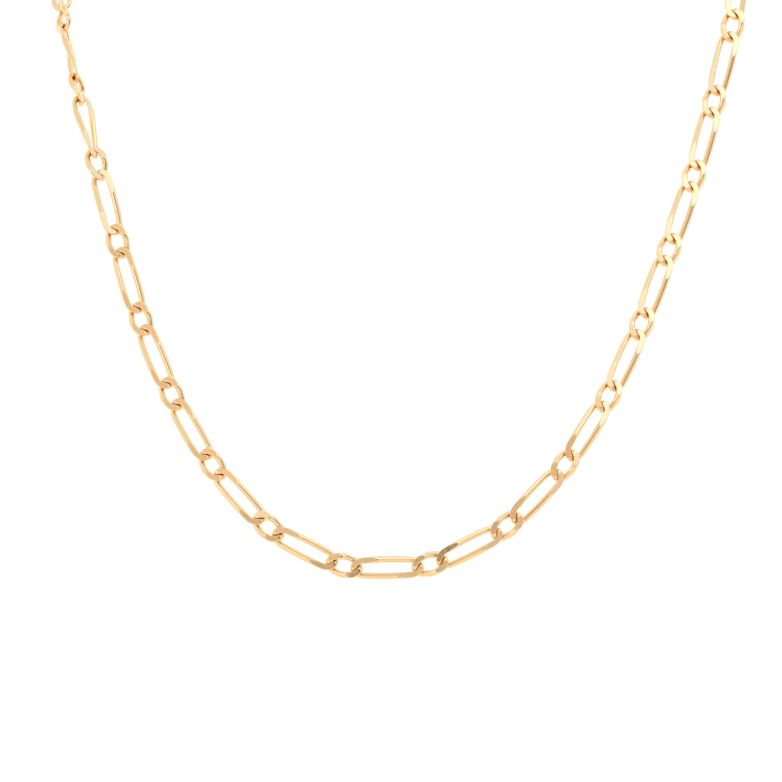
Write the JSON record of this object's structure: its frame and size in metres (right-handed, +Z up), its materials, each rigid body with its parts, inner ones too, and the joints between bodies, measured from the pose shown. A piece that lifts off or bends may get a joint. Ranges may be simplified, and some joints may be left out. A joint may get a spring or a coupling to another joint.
{
  "type": "figaro chain necklace",
  "caption": "Figaro neck chain of flattened oval links, long and short by turns, hanging as worn in an open loop and closed behind the neck by a spring ring clasp.",
  "frame": {"origin": "middle of the clasp at the nape, where the chain rests on the back of the neck", "axes": "+Z up, -Y towards the front of the wearer, +X to the right as seen from the front"},
  "size_m": [0.1249, 0.0752, 0.1471],
  "materials": {
    "link_gold": "polished yellow gold, warm and slightly rosy, with mirror-flat cut faces",
    "clasp_gold": "polished yellow gold, round wire and tube"
  },
  "bodies": {
    "root": {"chain_left": "link_gold", "chain_right": "link_gold", "clasp_ring": "clasp_gold", "clasp": "clasp_gold", "end_ring": "clasp_gold"}
  },
  "joints": []
}
